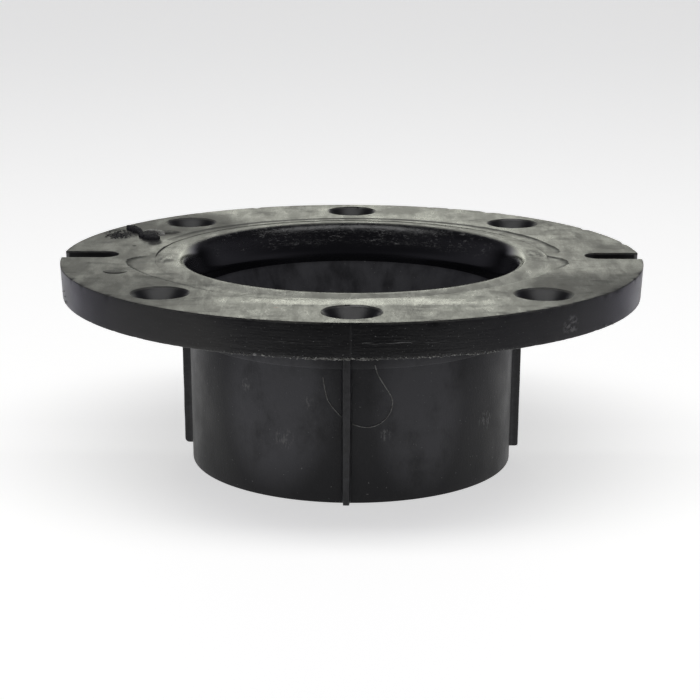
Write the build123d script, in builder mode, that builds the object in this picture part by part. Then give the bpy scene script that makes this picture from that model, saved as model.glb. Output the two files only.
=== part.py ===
import os

from build123d import *

# Toilet flange, moulded in one piece: a flange plate on a hub that takes a 3 inch drain pipe.
# Origin at the centre of the hub's lower end, +Z up, closet-bolt slots along X,
# one rib facing -Y. All sizes in millimetres.

# Overall
total_height = 63.5
flange_radius = 88.9
flange_thickness = 10.2
rim_draft = 0.5
edge_break = 0.5

# Bolt circle shared by the screw holes and the closet-bolt slots
bolt_circle_radius = 76.2
screw_hole_radius = 3.5
countersink_radius = 8.5
countersink_angle = 90
holes_per_side = 3
hole_spread = 90
slot_width = 9.0

# Mouth, with a sealing land a little lower than the plate
land_radius = 60.2
land_drop = 0.2
bell_radius = 5.5
throat_radius = 48.2
throat_draft = 0.3
throat_depth = 11.7

# Shallow recess outside the land
recess_depth = 0.15
recess_long_radius = 67.2
recess_short_radius = 61.8
recess_shift = (-1.6, 1.0)

# Hub
hub_radius_top = 50.2
hub_radius_bottom = 49.7
collar_proud = 0.4
collar_height = 12.8
collar_step_round = 0.25
wall_joint_radius = 49.3
hub_edge_break = 0.6

# Socket for the pipe
socket_radius = 44.6
socket_depth = 38.1
socket_lead_in = 1.0
stop_radius = 41.5
stop_seat_radius = 46.0

# Ribs
rib_radius_top = 52.9
rib_radius_bottom = 52.4
rib_width_top = 2.3
rib_width_bottom = 1.85
rib_turn = -1.6
rib_foot_gap = 3.0
rib_foot_round = 1.8
rib_edge_round = 0.5

# Torn gate remnant
gate_height = 1.6
gate_width = 2.4

# Levels
underside_z = total_height - flange_thickness
land_z = total_height - land_drop
edge_z = total_height - throat_depth
collar_z = underside_z - collar_height
funnel_slope = (throat_radius - stop_radius) / (edge_z - socket_depth)
funnel_radius_at_collar = stop_radius + funnel_slope * (collar_z - socket_depth)
hub_radius_at_collar = hub_radius_bottom + (hub_radius_top - hub_radius_bottom) * collar_z / underside_z

os.makedirs("parts", exist_ok=True)


def save(builder, name):
    builder.part.label = name
    export_step(builder.part, f"parts/{name}.step")


# Flange plate: a drafted disc outside the land's step
with BuildPart() as flange_plate:
    with BuildSketch(Plane.XZ):
        with BuildLine():
            Polyline(
                (land_radius, underside_z),
                (flange_radius - rim_draft, underside_z),
                (flange_radius, total_height),
                (land_radius, total_height),
                close=True,
            )
        make_face()
    revolve(axis=Axis.Z)
    rim_edges = flange_plate.edges().filter_by(GeomType.CIRCLE)
    fillet(rim_edges.filter_by(lambda edge: edge.radius > land_radius + 1), radius=edge_break)

    # Recess arcs, interrupted by a land on each slot's axis
    with BuildSketch(Plane.XY.offset(total_height)):
        with Locations(recess_shift):
            Ellipse(recess_long_radius, recess_short_radius)
        Circle(land_radius, mode=Mode.SUBTRACT)
        with BuildLine():
            Polyline((59, -1), (70, 12), (70, -14), close=True)
        make_face(mode=Mode.SUBTRACT)
        with BuildLine():
            Polyline((-59, -7), (-71, -3), (-71, 12), close=True)
        make_face(mode=Mode.SUBTRACT)
    extrude(amount=-recess_depth, mode=Mode.SUBTRACT)

    # Countersunk screw holes in two groups of three
    for side in (90, 270):
        with Locations((0, 0, total_height)):
            with PolarLocations(
                bolt_circle_radius,
                holes_per_side,
                start_angle=side - hole_spread / 2,
                angular_range=hole_spread,
                endpoint=True,
            ):
                CounterSinkHole(screw_hole_radius, countersink_radius, counter_sink_angle=countersink_angle)

    # Closet-bolt slots, open at the rim
    slot_reach = flange_radius - bolt_circle_radius + edge_break
    with BuildSketch(Plane.XY.offset(total_height)):
        with PolarLocations(bolt_circle_radius, 2):
            Circle(slot_width / 2)
            Rectangle(slot_reach, slot_width, align=(Align.MIN, Align.CENTER))
    extrude(amount=-flange_thickness, mode=Mode.SUBTRACT)
save(flange_plate, "flange_plate")


# Mouth ring: the sealing land, the bell mouth and the smooth bore wall
with BuildPart() as mouth_ring:
    with BuildSketch(Plane.XZ):
        with BuildLine():
            bell_top = (throat_radius + throat_draft + bell_radius, land_z)
            bell_foot = (throat_radius + throat_draft, land_z - bell_radius)
            Polyline(
                bell_foot,
                (throat_radius, edge_z),
                (wall_joint_radius, edge_z),
                (wall_joint_radius, underside_z),
                (land_radius, underside_z),
                (land_radius, land_z),
                bell_top,
            )
            RadiusArc(bell_top, bell_foot, -bell_radius)
        make_face()
    revolve(axis=Axis.Z)
save(mouth_ring, "mouth_ring")


# Hub collar: the thicker band under the plate, with the funnel inside
with BuildPart() as hub_collar:
    with BuildSketch(Plane.XZ):
        with BuildLine():
            Polyline(
                (funnel_radius_at_collar, collar_z),
                (hub_radius_at_collar + collar_proud, collar_z),
                (hub_radius_top + collar_proud, underside_z),
                (wall_joint_radius, underside_z),
                (wall_joint_radius, edge_z),
                (throat_radius, edge_z),
                close=True,
            )
        make_face()
    revolve(axis=Axis.Z)
    step_edges = hub_collar.edges().filter_by(GeomType.CIRCLE).filter_by_position(Axis.Z, collar_z, collar_z)
    fillet(step_edges.sort_by(SortBy.RADIUS)[-1], radius=collar_step_round)
save(hub_collar, "hub_collar")


# Hub tube: the plain part of the hub around the pipe socket
with BuildPart() as hub_tube:
    with BuildSketch(Plane.XZ):
        with BuildLine():
            Polyline(
                (socket_radius, 0),
                (hub_radius_bottom, 0),
                (hub_radius_at_collar, collar_z),
                (stop_seat_radius, collar_z),
                (stop_seat_radius, socket_depth),
                (socket_radius, socket_depth),
                close=True,
            )
        make_face()
    revolve(axis=Axis.Z)
    foot_edges = hub_tube.edges().filter_by(GeomType.CIRCLE).filter_by_position(Axis.Z, 0, 0)
    chamfer(foot_edges.sort_by(SortBy.RADIUS)[0], length=socket_lead_in)
    fillet(foot_edges.sort_by(SortBy.RADIUS)[-1], radius=hub_edge_break)
save(hub_tube, "hub_tube")


# Pipe stop: the ledge inside the socket that the pipe's end meets
with BuildPart() as pipe_stop:
    with BuildSketch(Plane.XZ):
        with BuildLine():
            Polyline(
                (stop_radius, socket_depth),
                (stop_seat_radius, socket_depth),
                (stop_seat_radius, collar_z),
                (funnel_radius_at_collar, collar_z),
                close=True,
            )
        make_face()
    revolve(axis=Axis.Z)
save(pipe_stop, "pipe_stop")


# Ribs: thin drafted fins on the hub, cut to the hub's surface
def make_rib(name, azimuth, foot_z, foot_round):
    with BuildPart() as rib:
        for level, reach, width in (
            (foot_z, rib_radius_bottom, rib_width_bottom),
            (underside_z, rib_radius_top, rib_width_top),
        ):
            with BuildSketch(Plane.XY.offset(level)):
                with Locations((wall_joint_radius, 0)):
                    Rectangle(reach - wall_joint_radius, width, align=(Align.MIN, Align.CENTER))
        loft()
        if foot_round:
            foot = rib.faces().sort_by(Axis.Z)[0]
            fillet(foot.edges().sort_by(Axis.X)[-1], radius=foot_round)
        long_edges = rib.edges().filter_by(lambda edge: edge.length > underside_z / 2)
        fillet(long_edges.sort_by(Axis.X)[-2:], radius=rib_edge_round)
    placed = Rot(0, 0, azimuth) * rib.part
    with BuildPart() as cut_rib:
        add(placed)
        add(hub_tube.part, mode=Mode.SUBTRACT)
        add(hub_collar.part, mode=Mode.SUBTRACT)
    save(cut_rib, name)


make_rib("rib_front", 270 + rib_turn, 0, 0)
make_rib("rib_right", rib_turn, rib_foot_gap, 0)
make_rib("rib_back", 90 + rib_turn, rib_foot_gap, 0)
make_rib("rib_left", 180 + rib_turn, rib_foot_gap, rib_foot_round)


# Gate stub: what is left of the torn-off gate, standing on the plate
with BuildPart() as gate_stub:
    with BuildSketch(Plane.XY.offset(total_height)):
        with BuildLine():
            Polyline((-73.6, 41), (-70.6, 35), (-66.8, 31), (-63.4, 23.4))
        trace(line_width=gate_width)
    extrude(amount=gate_height)
save(gate_stub, "gate_stub")
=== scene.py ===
import math
import random
import bpy
import numpy as np
from mathutils import Matrix, Vector, noise


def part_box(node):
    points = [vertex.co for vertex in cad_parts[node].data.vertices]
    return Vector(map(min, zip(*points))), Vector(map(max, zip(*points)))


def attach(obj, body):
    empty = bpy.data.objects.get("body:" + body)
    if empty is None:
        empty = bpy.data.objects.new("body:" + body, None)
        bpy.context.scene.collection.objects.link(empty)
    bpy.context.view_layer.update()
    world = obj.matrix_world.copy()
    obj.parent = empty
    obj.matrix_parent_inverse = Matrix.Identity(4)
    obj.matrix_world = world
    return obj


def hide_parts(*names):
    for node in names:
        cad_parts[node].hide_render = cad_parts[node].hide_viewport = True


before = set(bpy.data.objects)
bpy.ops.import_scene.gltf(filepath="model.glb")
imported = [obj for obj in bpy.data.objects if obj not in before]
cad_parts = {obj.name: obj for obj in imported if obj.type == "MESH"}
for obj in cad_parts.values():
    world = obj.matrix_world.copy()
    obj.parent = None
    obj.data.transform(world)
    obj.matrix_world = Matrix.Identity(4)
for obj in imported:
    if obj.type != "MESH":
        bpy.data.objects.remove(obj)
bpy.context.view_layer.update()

mm = 0.001
weldGap = 0.002 * mm
mouthFootDrop = 0.2 * mm
random.seed(7)

# Levels and radii that the pieces share, read from the frame
plateLow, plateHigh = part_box("flange_plate")
mouthLow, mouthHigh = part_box("mouth_ring")
collarLow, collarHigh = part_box("hub_collar")
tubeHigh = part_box("hub_tube")[1]
stopLow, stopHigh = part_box("pipe_stop")
topZ = plateHigh.z
underZ = plateLow.z
lipZ = mouthLow.z - mouthFootDrop
collarZ = collarLow.z
rimR = plateHigh.y
landR = mouthHigh.x
collarR = collarHigh.x

# Bolt circle and half the slot width, the same as in the CAD source
boltR = 76.2 * mm
slotHalf = 4.5 * mm


# Small tools the pieces share
def pickNothing():
    if bpy.context.object and bpy.context.object.mode != "OBJECT":
        bpy.ops.object.mode_set(mode="OBJECT")
    bpy.ops.object.select_all(action="DESELECT")


def pickOnly(piece):
    pickNothing()
    piece.select_set(True)
    bpy.context.view_layer.objects.active = piece


def freeze(piece):
    pickOnly(piece)
    bpy.ops.object.transform_apply(location=True, rotation=True, scale=True)


def drawOutline(name, points):
    # one vertex, drawn out from point to point
    pickNothing()
    bpy.ops.mesh.primitive_plane_add(size=mm, location=points[0])
    piece = bpy.context.object
    piece.name = piece.data.name = name
    bpy.ops.object.mode_set(mode="EDIT")
    bpy.ops.mesh.select_mode(type="VERT")
    bpy.ops.mesh.merge(type="CENTER")
    for here, there in zip(points, points[1:]):
        bpy.ops.mesh.extrude_region_move(TRANSFORM_OT_translate={"value": Vector(there) - Vector(here)})
    bpy.ops.object.mode_set(mode="OBJECT")
    freeze(piece)
    return piece


def turnOutline(name, outline, steps):
    # outline is a closed ring of (radius, height); it is spun once round the upright axis
    points = [(r, 0, z) for r, z in outline]
    piece = drawOutline(name, points + points[:1])
    bpy.ops.object.mode_set(mode="EDIT")
    bpy.ops.mesh.select_all(action="SELECT")
    bpy.ops.mesh.remove_doubles(threshold=weldGap)
    bpy.ops.mesh.spin(steps=steps, angle=math.tau, center=(0, 0, 0), axis=(0, 0, 1))
    bpy.ops.mesh.select_all(action="SELECT")
    bpy.ops.mesh.remove_doubles(threshold=weldGap)
    bpy.ops.mesh.normals_make_consistent(inside=False)
    bpy.ops.object.mode_set(mode="OBJECT")
    return piece


def cutOut(piece, cutter):
    pickOnly(piece)
    cut = piece.modifiers.new("cut", "BOOLEAN")
    cut.object = cutter
    cut.operation = "DIFFERENCE"
    cut.solver = "EXACT"
    bpy.ops.object.modifier_apply(modifier="cut")
    bpy.data.objects.remove(cutter)


def copyPiece(piece, name):
    pickOnly(piece)
    bpy.ops.object.duplicate(linked=False)
    made = bpy.context.object
    made.name = made.data.name = name
    return made


def joinPieces(pieces):
    pickNothing()
    for piece in pieces:
        piece.select_set(True)
    bpy.context.view_layer.objects.active = pieces[0]
    if len(pieces) > 1:
        bpy.ops.object.join()
    return bpy.context.object


def turnAboutAxis(piece, angle):
    pickOnly(piece)
    bpy.ops.transform.rotate(value=-angle, orient_axis="Z", center_override=(0, 0, 0))
    freeze(piece)


def pushVertices(piece, move):
    # move takes and gives x, y, z columns in millimetres
    count = len(piece.data.vertices)
    places = np.empty(count * 3)
    piece.data.vertices.foreach_get("co", places)
    places = places.reshape(count, 3) / mm
    places = move(places)
    piece.data.vertices.foreach_set("co", (places * mm).ravel())
    piece.data.update()


def smoothFaces(piece, degrees):
    pickOnly(piece)
    bpy.ops.object.shade_smooth_by_angle(angle=math.radians(degrees))


def roundTurn(centre, radius, start, end, count):
    # points on an arc of an outline, both ends included, angles in degrees
    turns = [math.radians(start + (end - start) * i / count) for i in range(count + 1)]
    return [(centre[0] + radius * math.cos(t), centre[1] + radius * math.sin(t)) for t in turns]


def radiusBearing(places):
    return np.hypot(places[:, 0], places[:, 1]), np.degrees(np.arctan2(places[:, 1], places[:, 0]))


def evenRun(a, b, count):
    # points from a to b, without either end
    return [tuple(p + (q - p) * i / count for p, q in zip(a, b)) for i in range(1, count)]


def ramp(value, low, high):
    t = np.clip((value - low) / (high - low), 0, 1)
    return t * t * (3 - 2 * t)


def grain(places, size, seed):
    # soft noise, about -1 to 1, with a chosen size in millimetres
    shift = Vector((seed * 17.3, seed * 5.1, seed * 9.7))
    return np.array([noise.noise(Vector(p) / size + shift) for p in places])


def finishPiece(piece, degrees, slot, *nodes):
    smoothFaces(piece, degrees)
    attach(piece, "root")
    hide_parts(*nodes)
    print(piece.name, len(piece.data.polygons), "faces")
    return piece


# The flange plate: values times mm are metres, the others millimetres, degrees or counts
plate = {
    "steps": 720,
    "edgeRound": 0.22 * mm,
    "draft": 0.5 * mm,
    "fineTo": 70 * mm,
    "fineRing": 0.35 * mm,
    "coarseRing": 0.7 * mm,
    "recessDepth": 0.34,
    "recessSlope": 2.6,
    "holeMouthR": 8.5 * mm,
    "holeR": 3.5 * mm,
    "lip": 0.12 * mm,
    "slotCorner": 0.9 * mm,
    "holeTurns": (45, 90, 135, 225, 270, 315),
    "wavy": 0.05,
    "nickDepth": 0.16,
    "cutPast": 2 * mm,
    "footFlare": 0.2 * mm,
    "slotStraight": 6 * mm,
    "markR": 3.6 * mm,
    "markDepth": 1.2 * mm,
    "markSoft": 0.08 * mm,
    "markProud": 0.05 * mm,
    "marks": ((-59.4, 36.6, 1.6, 200), (-69.8, -24.6, 1.7, 250)),
}


def plateOutline():
    edge = plate["edgeRound"]
    footR = rimR - plate["draft"]
    inner = [(landR, underZ), *evenRun((landR, underZ), (landR, topZ), 4), (landR, topZ - 0.05 * mm)]
    first = [(landR + d * mm, topZ) for d in (0.06, 0.2)]
    fine = round((plate["fineTo"] - first[-1][0]) / plate["fineRing"])
    coarse = round((rimR - edge - plate["fineTo"]) / plate["coarseRing"])
    top = first + evenRun(first[-1], (plate["fineTo"], topZ), fine)
    top += [(plate["fineTo"], topZ)] + evenRun((plate["fineTo"], topZ), (rimR - edge, topZ), coarse)
    rim = roundTurn((rimR - edge, topZ - edge), edge, 90, 0, 5)
    wall = evenRun(rim[-1], (footR, underZ + edge), 10)
    foot = roundTurn((footR - edge, underZ + edge), edge, 0, -90, 4)
    under = evenRun(foot[-1], (landR, underZ), 8)
    return inner + top + rim + wall + foot + under


def holeCutter():
    # a countersink with a slightly softened mouth, on the bolt circle along X
    mouth = plate["holeMouthR"]
    lip = plate["lip"]
    slope = [(mouth + lip, topZ), (mouth + 0.45 * lip, topZ - 0.1 * lip), (mouth, topZ - 0.35 * lip)]
    slope.append((mouth - 0.45 * lip, topZ - 0.75 * lip))
    coneFoot = (plate["holeR"], slope[-1][1] - (slope[-1][0] - plate["holeR"]))
    past = plate["cutPast"]
    flare = plate["footFlare"]
    shape = [(0, topZ + past), (mouth + lip, topZ + past)] + slope
    shape += evenRun(slope[-1], coneFoot, 5) + [coneFoot]
    shape += [(plate["holeR"], underZ + flare), (plate["holeR"] + flare, underZ)]
    shape += [(plate["holeR"] + flare, underZ - past), (0, underZ - past)]
    cutter = turnOutline("holeCutter", shape, 72)
    cutter.location.x = boltR
    freeze(cutter)
    return cutter


def slotCutter():
    # the open slot, a little wider at its mouth, inset by its lip on the way down and mirrored downwards
    lip = plate["lip"]
    half = slotHalf + lip
    corner = plate["slotCorner"]
    out = rimR + 2 * plate["cutPast"]
    nose = roundTurn((boltR, 0), half, 270, 90, 28)
    flare = roundTurn((rimR - corner, half + corner), corner, 270, 360, 5)
    upper = [(boltR + plate["slotStraight"], half)] + flare + [(out, half + corner)]
    lower = [(x, -y) for x, y in reversed(upper)]
    ring = nose + upper + lower
    level = topZ + plate["cutPast"]
    middle = (topZ + underZ) / 2
    cutter = drawOutline("slotCutter", [(x, y, level) for x, y in ring + ring[:1]])
    bpy.ops.object.mode_set(mode="EDIT")
    bpy.ops.mesh.select_all(action="SELECT")
    bpy.ops.mesh.remove_doubles(threshold=weldGap)
    bpy.ops.mesh.edge_face_add()
    bpy.ops.mesh.select_mode(type="FACE")
    bpy.ops.mesh.extrude_region_move(TRANSFORM_OT_translate={"value": (0, 0, topZ - level)})
    bpy.ops.mesh.inset(thickness=0.6 * lip, depth=0)
    bpy.ops.transform.translate(value=(0, 0, -0.15 * lip))
    bpy.ops.mesh.inset(thickness=0.4 * lip, depth=0)
    bpy.ops.transform.translate(value=(0, 0, -0.6 * lip))
    bpy.ops.mesh.extrude_region_move(TRANSFORM_OT_translate={"value": (0, 0, middle - topZ + 0.75 * lip)})
    bpy.ops.mesh.delete(type="ONLY_FACE")
    bpy.ops.object.mode_set(mode="OBJECT")
    pickOnly(cutter)
    cutter.location.z = -middle
    freeze(cutter)
    flip = cutter.modifiers.new("flip", "MIRROR")
    flip.use_axis = (False, False, True)
    flip.merge_threshold = 0.01 * mm
    bpy.ops.object.modifier_apply(modifier="flip")
    cutter.location.z = middle
    freeze(cutter)
    bpy.ops.object.mode_set(mode="EDIT")
    bpy.ops.mesh.select_all(action="SELECT")
    bpy.ops.mesh.normals_make_consistent(inside=False)
    bpy.ops.object.mode_set(mode="OBJECT")
    return cutter


# How far the shallow recess reaches past the land, by bearing
recess = {
    "bearing": (-179.5, -176.5, -174, -170, -165, -160, -149, -141, -105, -88, -46, -35, -20, -14, -10,
                -6, -3, -0.5, 0.5, 2.5, 5, 8, 22, 31, 60, 90, 120, 145, 158, 168),
    "reach": (0, 6, 8.2, 9, 8.6, 7.7, 5.8, 4.6, 4, 0, 0, 1.5, 3, 5.2, 6.3,
              5.6, 3.8, 0, 0, 3.2, 4.7, 5.2, 4.9, 4.8, 3.4, 2.7, 3, 3.6, 3.4, 0),
}

# Nicks in the upper rim edge: bearing, half width in degrees, depth
nicks = (
    (-32, 3.2, 0.55), (-50, 0.8, 0.35), (-17, 2.4, 0.6), (-22, 1.0, 0.45), (-37, 1.4, 0.45), (-53, 1.3, 0.5),
    (-57.5, 0.7, 0.4), (-62, 0.9, 0.4), (-150, 1.3, 0.5), (-156, 0.9, 0.4), (-108, 0.7, 0.3), (-76, 0.9, 0.3),
    (-46.7, 0.7, 0.3), (-140, 1.2, 0.4), (-131, 0.8, 0.3), (58, 1.5, 0.45), (67, 0.9, 0.35), (30, 1.4, 0.4),
    (13, 1.6, 0.5), (112, 0.9, 0.35),
)


def recessCover(places):
    radius, bearing = radiusBearing(places)
    reach = np.interp(bearing, recess["bearing"], recess["reach"])
    slope = np.minimum(plate["recessSlope"], reach * 0.75 + 0.01)
    out = radius - landR / mm
    climb = np.clip((out - reach + slope) / slope, 0, 1)
    left = 0.15 + 0.85 * ramp(bearing, -180, -172)
    cover = (1 - climb ** 2.6) * (reach > 0.02) * np.where(bearing < -100, left, 1)
    # painted shade: how strongly the recess is darkened just inside its outer edge
    shade = climb ** 2 * ramp(reach, 2.5, 5.5) * (out < reach + 0.1) * (out > 0)
    return cover, reach, shade


def wearPlate(places):
    radius, bearing = radiusBearing(places)
    z = places[:, 2]
    onTop = z > topZ / mm - 0.06
    cover, reach, shade = recessCover(places)
    depth = plate["recessDepth"] * np.clip(0.45 + reach / 8, 0, 1.25)
    places[:, 2] = z - np.where(onTop, cover * depth, 0)
    # soft waviness of the top, never above its level
    swell = np.zeros(len(places))
    swell[onTop] = plate["wavy"] * (grain(places[onTop], 14, 1) - 1) / 2
    swell[onTop] += 0.012 * (grain(places[onTop], 3, 8) - 1)
    places[:, 2] += swell
    # nicks and small dents round both rim edges
    edge = (radius > rimR / mm - 1.2) & (np.abs(z - topZ / mm) < 1.2)
    fine = grain(places[edge], 3.2, 2) + 0.4 * grain(places[edge], 1.2, 3)
    cut = plate["nickDepth"] * np.clip(fine - 0.25, 0, 1)
    for turn, half, deep in nicks:
        away = np.abs((bearing[edge] - turn + 180) % 360 - 180) / half
        cut += deep * np.clip(1 - away, 0, 1) * (0.7 + 0.3 * fine)
    close = np.clip(1 - np.hypot(radius[edge] - rimR / mm, z[edge] - topZ / mm) / 1.3, 0, 1)
    places[edge, 2] -= cut * close
    places[edge, :2] *= (1 - cut * close / radius[edge])[:, None]
    foot = (radius > rimR / mm - 2.0) & (np.abs(z - underZ / mm) < 1.2)
    fine = grain(places[foot], 1.8, 4)
    pull = 0.12 * np.clip(fine - 0.2, 0, 1)
    places[foot, :2] *= (1 - pull / radius[foot])[:, None]
    places[foot, 2] += pull
    return places


def makeMark(x, y, lean, towards):
    # the round print of an ejector pin: lean in degrees, towards a bearing
    pickNothing()
    depth = plate["markDepth"]
    bpy.ops.mesh.primitive_cylinder_add(vertices=72, radius=plate["markR"], depth=depth)
    mark = bpy.context.object
    bpy.ops.object.mode_set(mode="EDIT")
    bpy.ops.mesh.select_all(action="SELECT")
    bpy.ops.mesh.normals_make_consistent(inside=False)
    bpy.ops.object.mode_set(mode="OBJECT")
    soft = mark.modifiers.new("soft", "BEVEL")
    soft.width = plate["markSoft"]
    soft.segments = 2
    bpy.ops.object.modifier_apply(modifier="soft")
    away = math.radians(towards)
    mark.rotation_euler = (math.radians(lean) * math.sin(away), -math.radians(lean) * math.cos(away), 0)
    mark.location = (x * mm, y * mm, topZ + plate["markProud"] - depth / 2)
    freeze(mark)
    return mark


def makePlate():
    piece = turnOutline("flangePlate", plateOutline(), plate["steps"])
    cutters = []
    for turn in plate["holeTurns"]:
        cutter = holeCutter() if not cutters else copyPiece(cutters[0], "holeCutter")
        turnAboutAxis(cutter, math.radians(turn - plate["holeTurns"][0] if cutters else turn))
        cutters.append(cutter)
    slots = [slotCutter()]
    slots.append(copyPiece(slots[0], "slotCutter"))
    turnAboutAxis(slots[1], math.pi)
    cutOut(piece, joinPieces(cutters + slots))
    flat = np.empty(len(piece.data.vertices) * 3)
    piece.data.vertices.foreach_get("co", flat)
    shade = recessCover(flat.reshape(-1, 3) / mm)[2]
    pushVertices(piece, wearPlate)
    piece.data.attributes.new("shade", "FLOAT", "POINT").data.foreach_set("value", shade.astype(np.float32))
    marks = [makeMark(*mark) for mark in plate["marks"]]
    piece = joinPieces([piece] + marks)
    return finishPiece(piece, 32, "black_plastic", "flange_plate")


flangePlate = makePlate()


# The mouth, the hub and the pipe stop
hub = {
    "steps": 360,
    "throatR": 48.2 * mm,
    "lipShift": 0.8,
    "wallJointR": 49.3 * mm,
    "stepRound": 0.3 * mm,
    "footRound": 0.35 * mm,
    "socketR": 44.6 * mm,
    "stopR": 41.5 * mm,
    "leadIn": 1.0 * mm,
    "draft": 0.38 * mm,
    "collarStep": 0.4 * mm,
}
tubeR = tubeHigh.x
footR = tubeR - hub["draft"]
stopSeatR = stopHigh.x
funnelSlope = (hub["throatR"] - hub["stopR"]) / (lipZ - stopLow.z)
funnelR = hub["stopR"] + funnelSlope * (collarZ - stopLow.z)


# The land rises a little towards the lip, then rolls over into the bore: radius, depth under the plate top
mouthCurve = (
    (60.2, 0.46), (59.4, 0.41), (58.4, 0.31), (57.4, 0.2), (56.4, 0.1), (55.6, 0.03), (55.0, 0.0),
    (54.3, 0.02), (53.7, 0.08), (53.2, 0.19), (52.7, 0.37), (52.3, 0.6), (51.9, 0.93), (51.55, 1.32),
    (51.2, 1.83), (50.85, 2.45), (50.5, 3.2), (50.15, 4.1), (49.8, 5.1), (49.45, 6.1), (49.1, 7.2),
    (48.8, 8.3), (48.6, 9.2),
)


def smoothCurve(points, steps):
    # a soft line through the given points
    fine = []
    for k in range(len(points) - 1):
        before, after = points[max(k - 1, 0)], points[min(k + 2, len(points) - 1)]
        for i in range(steps):
            t = i / steps
            at = []
            for p0, p1, p2, p3 in zip(before, points[k], points[k + 1], after):
                bend = 2 * p0 - 5 * p1 + 4 * p2 - p3 + t * (3 * (p1 - p2) + p3 - p0)
                at.append(p1 + 0.5 * t * (p2 - p0 + t * bend))
            fine.append(tuple(at))
    return fine + [tuple(points[-1])]


def makeMouth():
    curve = [(r * mm, topZ - d * mm) for r, d in smoothCurve(mouthCurve, 3)]
    wall = evenRun(curve[-1], (hub["throatR"], lipZ), 6)
    under = [(hub["throatR"], lipZ), (hub["wallJointR"], lipZ), (hub["wallJointR"], underZ)]
    outside = [(landR, underZ)] + evenRun((landR, underZ), curve[0], 4)
    piece = turnOutline("mouthRing", curve + wall + under + outside, hub["steps"])

    def settle(places):
        radius = np.hypot(places[:, 0], places[:, 1])
        depth = topZ / mm - places[:, 2]
        share = (1 - ramp(radius, 54.5, 59.5)) * (1 - ramp(depth, 4, 10))
        places[:, 1] += hub["lipShift"] * share
        rough = grain(places, 3.5, 31) * 0.05 + grain(places, 1.3, 32) * 0.03
        bell = ramp(depth, 0.5, 1.1) * (1 - ramp(depth, 3.0, 5.0))
        back = ramp(places[:, 1], 20, 38)
        places[:, 2] += rough * bell * back
        return places

    pushVertices(piece, settle)
    return finishPiece(piece, 40, "black_plastic_polished", "mouth_ring")


def makeCollar():
    step = hub["stepRound"]
    low = (tubeR + hub["collarStep"], collarZ)
    outside = roundTurn((low[0] - step, collarZ + step), step, -90, 0, 4)
    outside += evenRun(outside[-1], (collarR, underZ), 8) + [(collarR, underZ)]
    inside = [(hub["wallJointR"], underZ), (hub["wallJointR"], lipZ), (hub["throatR"], lipZ)]
    inside += evenRun(inside[-1], (funnelR, collarZ), 12) + [(funnelR, collarZ)]
    piece = turnOutline("hubCollar", outside + inside, hub["steps"])
    return finishPiece(piece, 40, "black_plastic", "hub_collar")


def makeTube():
    foot = hub["footRound"]
    outside = evenRun((tubeR, collarZ), (footR, foot), 26)
    corner = roundTurn((footR - foot, foot), foot, 0, -90, 5)
    chamfer = [(hub["socketR"] + hub["leadIn"], 0), (hub["socketR"], hub["leadIn"])]
    inside = evenRun(chamfer[-1], (hub["socketR"], stopLow.z), 16)
    seat = [(hub["socketR"], stopLow.z), (stopSeatR, stopLow.z), (stopSeatR, collarZ), (tubeR, collarZ)]
    piece = turnOutline("hubTube", outside + corner + chamfer + inside + seat, hub["steps"])
    return finishPiece(piece, 40, "black_plastic", "hub_tube")


def makeStop():
    ring = [(hub["stopR"], stopLow.z), (stopSeatR, stopLow.z), (stopSeatR, collarZ), (funnelR, collarZ)]
    piece = turnOutline("pipeStop", ring, hub["steps"])
    return finishPiece(piece, 40, "black_plastic", "pipe_stop")


mouthRing = makeMouth()
hubCollar = makeCollar()
hubTube = makeTube()
pipeStop = makeStop()


# The four ribs, in millimetres and degrees
rib = {
    "turn": -1.6,
    "topR": 52.9,
    "footR": 52.4,
    "topHalf": 1.15,
    "footHalf": 0.925,
    "edgeRound": 0.5,
    "wallR": 50.0,
    "flare": 0.55,
    "flareR": 50.1,
    "rows": 56,
}
# Each rib: the node it stands in for, its turn and how far its foot is rounded
ribPlaces = {
    "ribFront": ("rib_front", 0, 0.7),
    "ribRight": ("rib_right", 90, 0.5),
    "ribBack": ("rib_back", 180, 0.5),
    "ribLeft": ("rib_left", 270, 1.2),
}


def makeRibStock():
    # a cross-section pointing at -Y, drawn under the plate and pulled down to the floor
    half = rib["topHalf"]
    edge = rib["edgeRound"]
    side = [(half, r) for r in (49.3, 49.9, 50.3, 50.6, 50.9, 51.3, 51.8)]
    nose = roundTurn((half - edge, rib["topR"] - edge), edge, 0, 90, 5)
    right = [(x, -r) for x, r in side + nose]
    left = [(-x, y) for x, y in reversed(right)]
    ring = [(x * mm, y * mm, underZ) for x, y in right + left]
    piece = drawOutline("ribStock", ring + ring[:1])
    bpy.ops.object.mode_set(mode="EDIT")
    bpy.ops.mesh.select_all(action="SELECT")
    bpy.ops.mesh.remove_doubles(threshold=weldGap)
    bpy.ops.mesh.edge_face_add()
    bpy.ops.mesh.select_mode(type="FACE")
    for _ in range(rib["rows"]):
        bpy.ops.mesh.extrude_region_move(TRANSFORM_OT_translate={"value": (0, 0, -underZ / rib["rows"])})
    bpy.ops.mesh.select_all(action="SELECT")
    bpy.ops.mesh.normals_make_consistent(inside=False)
    bpy.ops.object.mode_set(mode="OBJECT")
    return piece


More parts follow.
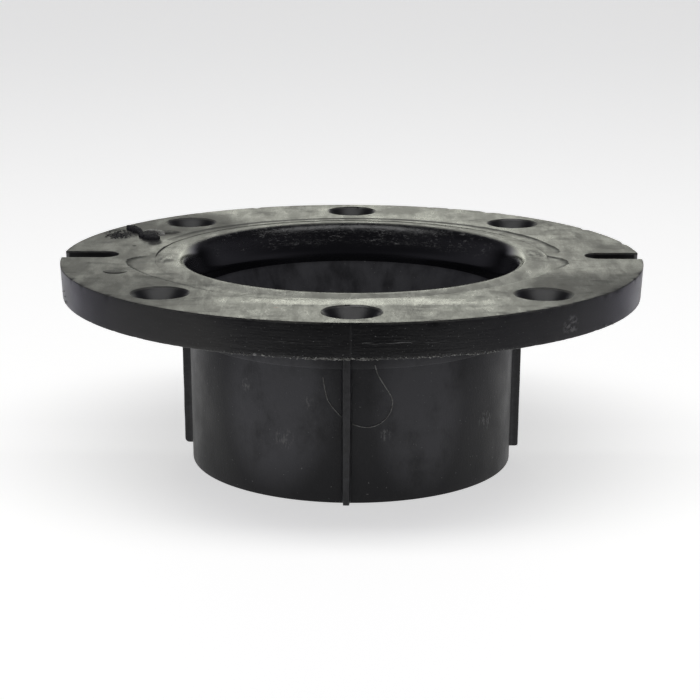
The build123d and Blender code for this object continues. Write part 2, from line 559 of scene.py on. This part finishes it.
def makeRib(stock, name, node, turn, footRound):
    piece = copyPiece(stock, name)
    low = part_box(node)[0].z / mm
    high = underZ / mm
    seed = turn / 90 + 5
    wall = rib["wallR"]

    def shape(places):
        x, y, z = places.T.copy()
        z = low + (z / high) ** 1.6 * (high - low)
        t = z / high
        outer = rib["footR"] + (rib["topR"] - rib["footR"]) * t
        half = rib["footHalf"] + (rib["topHalf"] - rib["footHalf"]) * t
        reach = np.clip((-y - wall) / (rib["topR"] - wall), 0, 1)
        near = np.clip((footRound - (z - low)) / footRound, 0, 1)
        nose = 1 - np.sqrt(np.clip(1 - near * near, 0, 1))
        out = reach * (outer - wall - footRound * nose)
        flare = rib["flare"] * np.exp(-np.clip(-y - rib["flareR"], 0, 9) / 0.4) * (1 - near)
        wobble = grain(np.column_stack((t * 0, t * 0 + seed, z)), 6, seed)
        slim = 1 + 0.1 * wobble
        places[:, 0] = x / rib["topHalf"] * half * slim + np.sign(x) * flare + 0.12 * wobble
        places[:, 1] = np.where(-y > wall, -(wall + out + 0.06 * wobble * reach), y)
        places[:, 2] = z
        return places

    pushVertices(piece, shape)
    turnAboutAxis(piece, math.radians(turn + rib["turn"]))
    return finishPiece(piece, 40, "black_plastic", node)


ribStock = makeRibStock()
ribs = [makeRib(ribStock, name, *place) for name, place in ribPlaces.items()]
bpy.data.objects.remove(ribStock)


# The torn gate remnant and the flap beside it, in millimetres
gate = {
    "line": ((-73.2, 41.6), (-71.9, 39.4), (-70.0, 36.4), (-68.7, 34.2), (-67.4, 31.6), (-66.2, 29.0),
             (-64.4, 25.4), (-63.0, 22.6)),
    "height": (1.45, 1.75, 1.75, 0.8, 1.3, 1.75, 1.75, 1.7),
    "halfWidth": (1.1, 1.6, 1.5, 1.0, 1.7, 2.5, 2.7, 1.7),
    "along": 190,
    "across": 34,
    "root": 0.6,
}
flap = {
    "line": ((-68.0, 37.6), (-66.0, 37.4), (-63.8, 36.2), (-62.0, 33.6), (-61.2, 30.6)),
    "height": (0.4, 0.9, 1.1, 0.9, 0.5),
    "halfWidth": (0.6, 1.3, 1.6, 1.3, 0.7),
    "along": 80,
    "across": 30,
    "root": 0.6,
}


def makeTear(name, shape, seed):
    # a fine strip laid along a line and torn up into blocky ridges
    pickNothing()
    along, across = shape["along"], shape["across"]
    bpy.ops.mesh.primitive_grid_add(x_subdivisions=along, y_subdivisions=across, size=2 * mm)
    piece = bpy.context.object
    piece.name = piece.data.name = name
    bpy.ops.object.mode_set(mode="EDIT")
    bpy.ops.mesh.select_all(action="SELECT")
    bpy.ops.mesh.extrude_region_move(TRANSFORM_OT_translate={"value": (0, 0, mm)})
    bpy.ops.mesh.select_all(action="SELECT")
    bpy.ops.mesh.normals_make_consistent(inside=False)
    bpy.ops.object.mode_set(mode="OBJECT")
    line = np.array(shape["line"])
    steps = np.hypot(*np.diff(line, axis=0).T)
    mark = np.concatenate(([0], np.cumsum(steps)))

    def tear(places):
        u = (places[:, 0] + 1) / 2 * mark[-1]
        v = places[:, 1]
        centre = np.column_stack([np.interp(u, mark, line[:, k]) for k in (0, 1)])
        ahead = np.column_stack([np.interp(u + 0.4, mark, line[:, k]) for k in (0, 1)])
        behind = np.column_stack([np.interp(u - 0.4, mark, line[:, k]) for k in (0, 1)])
        way = (ahead - behind) / np.hypot(*(ahead - behind).T)[:, None]
        width = np.interp(u, mark, shape["halfWidth"])
        tall = np.interp(u, mark, shape["height"])
        at = np.column_stack((u, v * width, u * 0))
        ragged = grain(at, 0.7, seed)
        coarse = grain(at, 2.1, seed + 1)
        ends = np.clip(np.minimum(u, mark[-1] - u) / 0.4, 0, 1)
        crown = np.clip(1 - np.abs(v + 0.2 * coarse) ** 5, 0, 1) ** 0.5
        height = tall * crown * ends ** 0.4 * (0.86 + 0.34 * coarse + 0.22 * ragged)
        place = centre + np.column_stack((-way[:, 1], way[:, 0])) * (v * width * (1 + 0.22 * ragged))[:, None]
        top = places[:, 2] > 0.5
        z = np.where(top, topZ / mm - 0.15 + np.clip(height, 0, 1.72), topZ / mm - shape["root"])
        return np.column_stack((place, z))

    pushVertices(piece, tear)
    return piece


gateStub = finishPiece(makeTear("gateStub", gate, 11), 25, "black_plastic_torn", "gate_stub")
gateFlap = makeTear("gateFlap", flap, 15)
smoothFaces(gateFlap, 25)
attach(gateFlap, "root")


# The raised line on the hub: bearing, then millimetres from the plate top
line = {
    "points": ((-99.4, -25.6), (-98.6, -29.6), (-97.4, -32.9), (-93.2, -37.3), (-89.6, -39.4),
               (-84.6, -40.4), (-80.3, -39.3), (-77.1, -36.2), (-76.4, -32.4), (-78.5, -28.9),
               (-81.2, -24.9), (-82.4, -21.8)),
    "thick": 0.17 * mm,
    "proud": 0.0 * mm,
}


def hubPlace(bearing, z, proud):
    r = footR + (tubeR - footR) * min(z, collarZ) / collarZ + proud
    if z > collarZ:
        r += hub["collarStep"]
    turn = math.radians(bearing)
    return (r * math.cos(turn), r * math.sin(turn), z)


def makeRaisedLine():
    soft = smoothCurve([(b, topZ + d * mm) for b, d in line["points"]], 6)
    fine = [hubPlace(bearing, z, line["proud"]) for bearing, z in soft]
    piece = drawOutline("hubLine", fine)
    bpy.ops.object.convert(target="CURVE")
    piece = bpy.context.object
    piece.data.bevel_depth = line["thick"]
    piece.data.bevel_resolution = 2
    piece.data.use_fill_caps = True
    bpy.ops.object.convert(target="MESH")
    piece = bpy.context.object
    piece.name = piece.data.name = "hubLine"
    smoothFaces(piece, 50)
    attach(piece, "root")
    return piece


# Crumbs of flash round the foot of the rim, in millimetres and degrees
flash = {
    "count": 170,
    "dense": (-98, -86),
    "spread": (-112, -64),
    "denseShare": 0.5,
    "rise": (-0.05, 0.45),
    "length": (0.25, 1.1),
    "crumbOut": -0.42,
    "burrOut": -0.2,
    "burrs": ((-164, 57.2, 2.4), (-163.3, 55.8, 2.0), (-162.6, 54.4, 1.6), (-165.4, 60.4, 1.2),
              (-36, 54.0, 1.4), (-33, 53.7, 1.1)),
}


def makeSliver(bearing, z, length, out):
    # a thin crumb of flash clinging to the rim
    pickNothing()
    bpy.ops.mesh.primitive_ico_sphere_add(subdivisions=2, radius=mm)
    crumb = bpy.context.object
    crumb.scale = (random.uniform(0.12, 0.26), length * 0.5, random.uniform(0.1, 0.2))
    crumb.rotation_euler = (random.uniform(-0.5, 0.5), 0, math.radians(bearing) + random.uniform(-0.35, 0.35))
    freeze(crumb)
    turn = math.radians(bearing)
    r = rimR + out * mm
    crumb.location = (r * math.cos(turn), r * math.sin(turn), z * mm)
    freeze(crumb)
    pushVertices(crumb, lambda places: places + 0.09 * grain(places, 0.3, 21)[:, None])
    return crumb


def makeFlash():
    crumbs = []
    for _ in range(flash["count"]):
        span = flash["dense"] if random.random() < flash["denseShare"] else flash["spread"]
        bearing = random.uniform(*span)
        z = underZ / mm + random.uniform(*flash["rise"])
        crumbs.append(makeSliver(bearing, z, random.uniform(*flash["length"]), flash["crumbOut"]))
    for bearing, z, length in flash["burrs"]:
        crumbs.append(makeSliver(bearing, z, length, flash["burrOut"]))
    piece = joinPieces(crumbs)
    piece.name = piece.data.name = "rimFlash"
    smoothFaces(piece, 40)
    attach(piece, "root")
    return piece


# Crumbs where the gate tore: middle, spread along and across the tear, sizes in millimetres
scar = {
    "count": 90,
    "middle": (-74.9, 31.8),
    "along": (2.9, 2.6),
    "across": (-1.6, 5.4),
    "alongSpread": 0.55,
    "acrossSpread": 0.5,
    "size": (0.25, 0.62),
    "aspect": (0.5, 1.3),
    "tall": (0.12, 0.3),
    "sink": 0.02,
}


def makeScar():
    # dark crumbs and gouges left where the gate tore the top face
    crumbs = []
    for _ in range(scar["count"]):
        pickNothing()
        bpy.ops.mesh.primitive_ico_sphere_add(subdivisions=2, radius=mm)
        crumb = bpy.context.object
        size = random.uniform(*scar["size"])
        crumb.scale = (size, size * random.uniform(*scar["aspect"]), random.uniform(*scar["tall"]))
        crumb.rotation_euler = (0, 0, random.uniform(0, 3))
        freeze(crumb)
        along, across = random.gauss(0, scar["alongSpread"]), random.gauss(0, scar["acrossSpread"])
        parts = zip(scar["middle"], scar["along"], scar["across"])
        x, y = (middle + a * along + b * across for middle, a, b in parts)
        crumb.location = (x * mm, y * mm, topZ - scar["sink"] * mm)
        freeze(crumb)
        pushVertices(crumb, lambda places: places + 0.1 * grain(places, 0.35, 23)[:, None])
        crumbs.append(crumb)
    piece = joinPieces(crumbs)
    piece.name = piece.data.name = "scarCrumbs"
    smoothFaces(piece, 40)
    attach(piece, "root")
    return piece


hubLine = makeRaisedLine()
rimFlash = makeFlash()
scarCrumbs = makeScar()
print("small marks ready")


# Materials
class Wire:
    def __init__(self, tree, socket=None):
        self.tree = tree
        self.socket = socket

    def node(self, kind, settings, inputs, output=0):
        made = self.tree.nodes.new("ShaderNode" + kind)
        for key, value in settings.items():
            setattr(made, key, value)
        for key, value in inputs.items():
            if isinstance(value, Wire):
                self.tree.links.new(value.socket, made.inputs[key])
            else:
                made.inputs[key].default_value = value
        return Wire(self.tree, made.outputs[output])

    def maths(self, operation, other=0.0, flipped=False):
        first, second = (other, self) if flipped else (self, other)
        return self.node("Math", {"operation": operation}, {0: first, 1: second})

    def __add__(self, other):
        return self.maths("ADD", other)

    def __sub__(self, other):
        return self.maths("SUBTRACT", other)

    def __mul__(self, other):
        return self.maths("MULTIPLY", other)

    def __truediv__(self, other):
        return self.maths("DIVIDE", other)

    def __rsub__(self, other):
        return self.maths("SUBTRACT", other, flipped=True)

    __radd__ = __add__
    __rmul__ = __mul__

    def top(self, other):
        return self.maths("MAXIMUM", other)

    def band(self, low, high, outLow=0.0, outHigh=1.0):
        ends = {"Value": self, "From Min": low, "From Max": high, "To Min": outLow, "To Max": outHigh}
        return self.node("MapRange", {"interpolation_type": "SMOOTHSTEP"}, ends)


class Surface:
    # the measuring wires of one material: millimetres in the frame, radius and bearing
    def __init__(self, name):
        self.material = bpy.data.materials.new(name)
        self.material.use_nodes = True
        self.tree = self.material.node_tree
        self.shader = self.tree.nodes["Principled BSDF"]
        self.shader.inputs["IOR"].default_value = 1.5
        start = Wire(self.tree)
        metres = start.node("TexCoord", {}, {}, "Object")
        self.place = metres.node("VectorMath", {"operation": "SCALE"}, {0: metres, "Scale": 1000.0})
        split = self.tree.nodes.new("ShaderNodeSeparateXYZ")
        self.tree.links.new(self.place.socket, split.inputs[0])
        self.x, self.y, self.z = (Wire(self.tree, out) for out in split.outputs)
        self.radius = (self.x * self.x + self.y * self.y).maths("SQRT")
        self.bearing = self.y.maths("ARCTAN2", self.x) * (180 / math.pi)

    def noise(self, size, detail=3.0, rough=0.55, stretch=(1, 1, 1), shift=0.0):
        # soft noise, 0 to 1, with the size of its features in millimetres
        inputs = {0: self.place, 1: [1 / (size * k) for k in stretch], 2: (shift, shift * 2, shift)}
        scaled = self.place.node("VectorMath", {"operation": "MULTIPLY_ADD"}, inputs)
        inputs = {"Vector": scaled, "Scale": 1.0, "Detail": detail, "Roughness": rough}
        return scaled.node("TexNoise", {}, inputs)

    def unrolled(self, size, tall, detail=3.0, shift=0.0):
        # noise on the unrolled rim or hub, long way round by size, upright by tall
        flat = self.x.node("CombineXYZ", {}, {"X": self.bearing * 1.5 / size, "Y": self.z / tall, "Z": shift})
        return flat.node("TexNoise", {}, {"Vector": flat, "Scale": 1.0, "Detail": detail, "Roughness": 0.6})

    def patch(self, across, up, centre, reach, turn=0.0):
        # 1 in the middle of an ellipse, 0 outside it
        c, s = math.cos(math.radians(turn)), math.sin(math.radians(turn))
        a = across - centre[0]
        b = up - centre[1]
        along = (a * c + b * s) / reach[0]
        cross = (b * c - a * s) / reach[1]
        return 1 - (along * along + cross * cross).band(0.15, 1.0)

    def colour(self, dark, light, share):
        return share.node("Mix", {"data_type": "RGBA"}, {0: share, 6: (*dark, 1), 7: (*light, 1)}, 2)

    def tint(self, base, light, share):
        return share.node("Mix", {"data_type": "RGBA"}, {0: share, 6: base, 7: (*light, 1)}, 2)

    def finish(self, colour, roughness, height, lift):
        for socket, wire in (("Base Color", colour), ("Roughness", roughness)):
            self.tree.links.new(wire.socket, self.shader.inputs[socket])
        bump = height.node("Bump", {}, {"Strength": 1.0, "Distance": lift * mm, "Height": height})
        self.tree.links.new(bump.socket, self.shader.inputs["Normal"])
        return self.material


def giveMaterial(piece, material):
    piece.data.materials.clear()
    piece.data.materials.append(material)


tone = {
    "black": (0.012, 0.012, 0.0135),
    "dust": (0.075, 0.074, 0.064),
    "scuff": (0.22, 0.22, 0.215),
    "crumb": (0.35, 0.35, 0.33),
    "deep": (0.004, 0.004, 0.005),
    "paintedShadeBlack": (0.0015, 0.0015, 0.002),
    "hub": (0.025, 0.025, 0.028),
    "funnel": (0.05, 0.05, 0.055),
    "haze": (0.07, 0.07, 0.076),
    "rust": (0.11, 0.035, 0.02),
    "moss": (0.06, 0.075, 0.055),
}
seamBearing = -90.2


def topSurface(skin):
    # cloudy, handled plastic: streaks, rubbed areas, a few named stains and a painted shadow beside the gate
    # stub
    cloud = skin.noise(13, 4, 0.6, (0.9, 2.0, 1), 3.1)
    streak = skin.noise(4, 4, 0.65, (0.8, 3.2, 1), 8.3)
    fine = skin.noise(0.8, 3, 0.65, (0.7, 3.0, 1), 1.7)
    mottle = cloud * 0.42 + streak * 0.33 + fine * 0.25
    side = (skin.x * skin.x).band(42 * 42, 86 * 86)
    # painted shadow: a soft dark smear beside the end of the gate stub
    paintedShadow = skin.patch(skin.x, skin.y, (-62.4, 18.6), (2.6, 5.6))
    rub = skin.patch(skin.x, skin.y, (-75.2, 32.6), (6.2, 10), 20)
    crumbs = skin.noise(1.0, 2, 0.7, (1, 1.5, 1), 5.5).band(0.46, 0.54) * rub
    worn = skin.patch(skin.x, skin.y, (56.5, 3), (3.2, 9))
    worn = worn.top(skin.patch(skin.x, skin.y, (-56.5, -6), (3.2, 7)))
    worn = worn * skin.noise(2.6, 3, 0.6, (1, 1.6, 1), 9.9).band(0.42, 0.6)
    cloudTwo = skin.patch(skin.x, skin.y, (61, 54), (11, 8), -30) * 0.4
    cloudTwo = cloudTwo * skin.noise(4, 3).band(0.3, 0.65)
    speck = skin.patch(skin.x, skin.y, (-68.4, 13.3), (0.8, 0.9))
    prints = skin.patch(skin.x, skin.y, (-59.4, 36.6), (4.2, 4.2)) * 0.6
    prints = prints * skin.noise(1.8, 3).band(0.35, 0.6)
    speck = speck.top(prints).top(skin.patch(skin.x, skin.y, (-69.8, -24.6), (4.2, 4.2)) * 0.3)
    dark = paintedShadow.top(crumbs).top(worn * 0.55).top(cloudTwo).top(speck)
    return mottle, side, dark


def makeTopMaterial(name, polishedInside):
    skin = Surface(name)
    mottle, side, dark = topSurface(skin)
    if polishedInside:
        upper = skin.radius.band(52.6, 53.8)
    else:
        upper = skin.z.band(topZ / mm - 0.7, topZ / mm - 0.4)
    # dark holds the stains and the painted shadow beside the gate stub
    colour = skin.colour(tone["black"], tone["dust"], mottle.band(0.36, 0.66) * (1 - dark * 0.9) * upper)
    colour = skin.tint(colour, tone["deep"], dark * upper * 0.8)
    worse = skin.patch(skin.x, skin.y, (-66, -50), (34, 30)) * 0.15
    worse = worse.top(skin.patch(skin.x, skin.y, (68, -46), (32, 26)) * 0.16)
    worse = worse.top(skin.patch(skin.x, skin.y, (-56, 50), (28, 26)) * 0.15)
    worse = worse.top(skin.x.band(-50, -78, 0, 0.1))
    worse = worse + skin.noise(7, 4, 0.7, (1.8, 0.8, 1), 13.0).band(0.5, 0.7) * 0.1
    shiny = skin.patch(skin.x, skin.y, (0, -63.5), (44, 6)) * 0.15
    rough = mottle.band(0.38, 0.6, 0.24, 0.43) + side * 0.05 + dark * 0.3 + worse - shiny
    grainy = skin.noise(0.6, 2, 0.6, (1.3, 0.6, 1), 4.4)
    if polishedInside:
        broken = skin.noise(1.0, 4, 0.75, (2.0, 2.0, 0.7), 2.2)
        bell = skin.radius.band(49.2, 50.4) * (1 - skin.radius.band(53.0, 54.4)) * skin.y.band(18, 34)
        inner = 0.15 + broken.band(0.4, 0.7) * bell * 0.2
        rough = rough * upper + inner * (1 - upper)
        colour = skin.tint(colour, tone["deep"], 1 - upper)
        # painted highlight: broken light grey patches on the far side of the bell
        paintedBellHighlight = broken.band(0.52, 0.7) * bell * skin.noise(6, 2, 0.5, (1, 1, 1), 1.1).band(0.4, 0.6)
        colour = skin.tint(colour, tone["scuff"], paintedBellHighlight * 0.55)
        height = mottle * upper * 0.6 + grainy * upper * 0.25 + broken * bell * 0.9
        return skin.finish(colour, rough, height, 0.12)
    # painted shade: darker just inside the outer edge of the shallow recess
    recessShade = skin.x.node("Attribute", {"attribute_name": "shade"}, {}, "Fac")
    rough = rough + recessShade * 0.32
    colour = skin.tint(colour, tone["deep"], recessShade * 0.8)
    # the rim below: rubbed streaks, scratches and specks, with painted shade darkening the front
    low = 1 - upper
    # painted shade: mask of the countersinks, slot walls and underside
    paintedHollowShade = low * (1 - skin.radius.band(87.3, 87.8))
    scrape = skin.unrolled(9, 0.7, 4, 2.0)
    blotch = skin.unrolled(12, 5, 3, 6.0)
    speckle = skin.unrolled(0.55, 0.4, 1, 4.0)
    front = 1 - skin.y.band(-87, -60)
    scratch = skin.patch(skin.bearing, skin.z, (-87, 57.6), (19, 1.1)) * scrape.band(0.56, 0.68)
    scuffed = skin.patch(skin.bearing, skin.z, (-47, 57), (2.4, 3.6))
    scuffed = scuffed * skin.unrolled(1.4, 1.2, 3, 9.0).band(0.45, 0.6)
    chips = skin.z.band(underZ / mm + 0.2, underZ / mm + 1.2, 1, 0) * speckle.band(0.6, 0.68)
    chips = chips * skin.bearing.band(-125, -100) * (1 - skin.bearing.band(-75, -45))
    specks = speckle.band(0.7, 0.75) * front * 0.6
    white = skin.patch(skin.bearing, skin.z, (-107, 53.6), (0.42, 0.6))
    light = (scratch * 0.6).top(scuffed * 0.6).top(chips * 0.9).top(specks).top(white)
    colour = skin.tint(colour, tone["hub"], low * (1 - front * 0.9) * blotch.band(0.3, 0.7))
    # painted shade: the rim's front is tinted near black
    colour = skin.tint(colour, tone["paintedShadeBlack"], low * front)
    # painted highlight: the rim's left and right ends are tinted light grey
    ends = low * (skin.x * skin.x).band(76 * 76, 88 * 88) * skin.radius.band(87.6, 88.2)
    # painted light: the rim is tinted lighter away from its front, more on a patch at its left
    left = skin.patch(skin.bearing, skin.z, (-128, 58), (20, 12)) * 0.5
    colour = skin.tint(colour, tone["dust"], low * ((1 - front) * 0.3).top(left))
    colour = skin.tint(colour, tone["scuff"], ends * 0.85)
    # painted shade: these hollows and the underside are tinted near black
    colour = skin.tint(colour, tone["paintedShadeBlack"], paintedHollowShade)
    colour = skin.tint(colour, tone["scuff"], low * light * (1 - paintedHollowShade))
    moss = skin.patch(skin.x, skin.y, (27, -71.5), (3.4, 2.2)) * upper
    rust = skin.patch(skin.x, skin.y, (-20.6, -71.2), (0.9, 0.9)) * upper
    colour = skin.tint(colour, tone["moss"], moss * 0.6)
    colour = skin.tint(colour, tone["rust"], rust)
    rough = rough * upper + low * (blotch * 0.2 + 0.34 - front * 0.16 + scrape * front * 0.1)
    seam = 1 - (skin.bearing - seamBearing).maths("ABSOLUTE").band(0.02, 0.16)
    relief = scrape * 0.35 + seam * 0.6 + light * 0.3
    height = mottle * upper * 0.7 + grainy * 0.25 + low * (1 - paintedHollowShade) * relief
    return skin.finish(colour, rough, height, 0.12)


# Rubbed spots on the hub: bearing and height, then half widths
hubScuffs = (
    ((-113, 18.5), (4.2, 4.0)), ((-78.5, 20.5), (2.4, 2.2)), ((-36.6, 19.5), (5.0, 3.6)),
    ((-104, 30), (2.0, 2.4)), ((-128, 33), (2.2, 2.4)),
)


def makeHubMaterial(name):
    skin = Surface(name)
    skin.shader.inputs["IOR"].default_value = 1.34
    haze = skin.unrolled(16, 14, 4, 1.0)
    grainy = skin.noise(0.55, 3, 0.65, (1, 1, 1), 6.6)
    scratchy = skin.unrolled(0.5, 2.6, 3, 7.7)
    scuffs = None
    for centre, reach in hubScuffs:
        spot = skin.patch(skin.bearing, skin.z, centre, reach)
        scuffs = spot if scuffs is None else scuffs.top(spot)
    scuffs = scuffs * skin.noise(1.0, 3, 0.7, (0.8, 0.8, 2.2), 3.3).band(0.48, 0.64)
    specks = skin.noise(0.8, 1, 0.5, (1, 1, 1), 12.1).band(0.74, 0.8)
    lit = skin.z.band(2, 34, 0.3, 0.85)
    inside = 1 - skin.radius.band(47.6, 49.0)
    # painted light: lighter patches on the hub's front left and front right
    paintedLightPatches = skin.patch(skin.bearing, skin.z, (-117, 30), (24, 32))
    paintedLightPatches = paintedLightPatches.top(skin.patch(skin.bearing, skin.z, (-66, 28), (19, 30)) * 0.75)
    colour = skin.colour(tone["deep"], tone["hub"], haze.band(0.2, 0.62) * lit.top(inside))
    # painted light: the inside of the hub is tinted a lighter grey
    colour = skin.tint(colour, tone["funnel"], inside * haze.band(0.3, 0.7))
    colour = skin.tint(colour, tone["haze"], paintedLightPatches * haze.band(0.1, 0.6) * (1 - inside))
    # painted shade: the hub darkens towards its left and right sides
    paintedSideShade = (skin.bearing + 90).maths("ABSOLUTE").band(40, 62) * (1 - inside)
    colour = skin.tint(colour, tone["paintedShadeBlack"], paintedSideShade * 0.8)
    colour = skin.tint(colour, tone["scuff"], (scuffs * 0.5).top(specks * 0.4))
    rough = haze.band(0.3, 0.7, 0.36, 0.46) + scratchy * 0.06 + scuffs * 0.1
    height = grainy * 0.5 + scratchy * 0.35 + haze * 0.4 + scuffs * 0.4
    return skin.finish(colour, rough, height, 0.09)


def makePlainMaterial(name, dark, light, low, high, size, lift):
    skin = Surface(name)
    ground = skin.noise(size, 4, 0.65, (1, 1, 1), 2.5)
    colour = skin.colour(dark, light, ground.band(0.35, 0.7))
    return skin.finish(colour, ground.band(0.3, 0.7, low, high), ground, lift)


plateMaterial = makeTopMaterial("plateBlack", False)
mouthMaterial = makeTopMaterial("mouthBlack", True)
hubMaterial = makeHubMaterial("hubBlack")
stopMaterial = makePlainMaterial("stopBlack", tone["deep"], tone["hub"], 0.35, 0.5, 3.0, 0.05)
ribMaterial = makePlainMaterial("ribBlack", tone["deep"], tone["hub"], 0.4, 0.5, 2.0, 0.08)
tornMaterial = makePlainMaterial("tornBlack", tone["deep"], tone["hub"], 0.6, 0.8, 0.5, 0.2)
lineMaterial = makePlainMaterial("lineGrey", tone["dust"], tone["scuff"], 0.4, 0.5, 1.0, 0.04)
flapMaterial = makePlainMaterial("flapGrey", tone["dust"], tone["scuff"], 0.35, 0.5, 0.9, 0.1)
crumbMaterial = makePlainMaterial("crumbGrey", tone["dust"], tone["crumb"], 0.5, 0.7, 0.8, 0.05)

giveMaterial(flangePlate, plateMaterial)
giveMaterial(mouthRing, mouthMaterial)
giveMaterial(hubCollar, hubMaterial)
giveMaterial(hubTube, hubMaterial)
giveMaterial(pipeStop, stopMaterial)
for piece in ribs:
    giveMaterial(piece, ribMaterial)
giveMaterial(gateStub, tornMaterial)
giveMaterial(scarCrumbs, tornMaterial)
giveMaterial(gateFlap, flapMaterial)
giveMaterial(hubLine, lineMaterial)
giveMaterial(rimFlash, crumbMaterial)
print("materials ready")


# The stage, the light and the camera; the eye is in millimetres
stage = {
    "floorFront": -0.19,
    "floorBack": 3.0,
    "floorNarrow": 0.125,
    "floorWide": 0.74,
    "floorTone": (0.85, 0.85, 0.83),
    "floorGlow": 0.6,
    "lowBand": (0.25, 0.6),
    "frontBand": (-0.99, -0.4),
    "frontFade": (0.3, 0.75),
    "frontLoss": 0.95,
    "frontDark": 0.03,
    "frontSide": 0.2,
    "behindBand": (0.74, 0.955),
    "behind": 2.35,
    "middleBand": (0.02, 0.3),
    "middleLoss": 0.35,
    "groundBand": (-0.12, -0.03),
    "groundBack": (0.3, 0.9),
    "ground": 0.9,
    "riseBand": (0.105, 0.17),
    "horizon": 0.04,
    "overheadBand": (0.15, 0.4),
    "overhead": 0.07,
    "coolLight": (1.0, 0.98, 1.16),
    "warmLight": (0.985, 1.0, 0.87),
    "lensWidth": 36.0,
    "lens": 97.01,
    "eye": (-0.61, -569.83, 179.86),
    "tilt": 14.41,
    "roll": 0.19,
    "shiftX": 0.5 / 700,
    "shiftY": -0.6 / 700,
    "lampPlace": (0.0, -0.2, 1.0),
    "lampSize": (1.3, 0.42),
    "lampPower": 5.0,
}


def makeStage():
    pickNothing()
    bpy.ops.mesh.primitive_plane_add(size=1)
    floor = bpy.context.object
    floor.name = "floor"
    front, back = stage["floorFront"], stage["floorBack"]
    for corner in floor.data.vertices:
        near = corner.co.y < 0
        half = stage["floorNarrow"] if near else stage["floorWide"]
        corner.co = (math.copysign(half, corner.co.x), front if near else back, 0)
    made = bpy.data.materials.new("paleFloor")
    made.use_nodes = True
    shader = made.node_tree.nodes["Principled BSDF"]
    shader.inputs["Base Color"].default_value = (*stage["floorTone"], 1)
    shader.inputs["Roughness"].default_value = 0.9
    shader.inputs["Emission Color"].default_value = (1, 1, 1, 1)
    shader.inputs["Emission Strength"].default_value = stage["floorGlow"]
    floor.data.materials.append(made)


def makeWorld():
    world = bpy.data.worlds.new("studio")
    bpy.context.scene.world = world
    world.use_nodes = True
    tree = world.node_tree
    tree.nodes.clear()
    start = Wire(tree)
    direction = start.node("TexCoord", {}, {}, "Generated")
    split = tree.nodes.new("ShaderNodeSeparateXYZ")
    tree.links.new(direction.socket, split.inputs[0])
    x, y, z = (Wire(tree, out) for out in split.outputs)
    low = 1 - z.band(*stage["lowBand"])
    behind = y.band(*stage["behindBand"])
    front = y.band(*stage["frontBand"], stage["frontDark"], stage["frontSide"])
    front = front * (1 - y.band(*stage["frontFade"]) * stage["frontLoss"])
    ground = (1 - z.band(*stage["groundBand"])) * y.band(*stage["groundBack"]) * stage["ground"]
    middle = 1 - x.maths("ABSOLUTE").band(*stage["middleBand"]) * stage["middleLoss"]
    rise = z.band(*stage["riseBand"], stage["horizon"], 1.0)
    glow = front + ground + behind * middle * rise * stage["behind"]
    glow = glow * low + z.band(*stage["overheadBand"]) * stage["overhead"]
    seen = start.node("LightPath", {}, {}, "Is Camera Ray")
    strength = glow * (1 - seen) + seen
    warm = behind * (1 - seen)
    cool = (1 - behind) * (1 - seen)
    white = (1, 1, 1, 1)
    tinted = warm.node("Mix", {"data_type": "RGBA"}, {0: warm, 6: white, 7: (*stage["warmLight"], 1)}, 2)
    tinted = warm.node("Mix", {"data_type": "RGBA"}, {0: cool, 6: tinted, 7: (*stage["coolLight"], 1)}, 2)
    background = tree.nodes.new("ShaderNodeBackground")
    output = tree.nodes.new("ShaderNodeOutputWorld")
    tree.links.new(tinted.socket, background.inputs["Color"])
    tree.links.new(strength.socket, background.inputs["Strength"])
    tree.links.new(background.outputs[0], output.inputs["Surface"])


def makeLamp(name, place, size, energy):
    pickNothing()
    bpy.ops.object.light_add(type="AREA", location=place)
    lamp = bpy.context.object
    lamp.name = name
    lamp.data.shape = "RECTANGLE"
    lamp.data.size, lamp.data.size_y = size
    lamp.data.energy = energy
    aim = Vector((0, 0, topZ)) - lamp.location
    lamp.rotation_euler = aim.to_track_quat("-Z", "Y").to_euler()
    lamp.visible_camera = False


def makeCamera():
    pickNothing()
    bpy.ops.object.camera_add(location=[v * mm for v in stage["eye"]])
    camera = bpy.context.object
    look = Matrix.Rotation(math.radians(90 - stage["tilt"]), 4, "X")
    camera.rotation_euler = (look @ Matrix.Rotation(math.radians(stage["roll"]), 4, "Z")).to_euler()
    camera.data.sensor_width = stage["lensWidth"]
    camera.data.lens = stage["lens"]
    camera.data.shift_x = stage["shiftX"]
    camera.data.shift_y = stage["shiftY"]
    camera.data.clip_start = 0.01
    camera.data.clip_end = 50
    bpy.context.scene.camera = camera


makeStage()
makeWorld()
makeLamp("softboxOver", stage["lampPlace"], stage["lampSize"], stage["lampPower"])
makeCamera()
bpy.context.scene.view_settings.view_transform = "Standard"
bpy.context.scene.view_settings.look = "None"
print("stage ready")
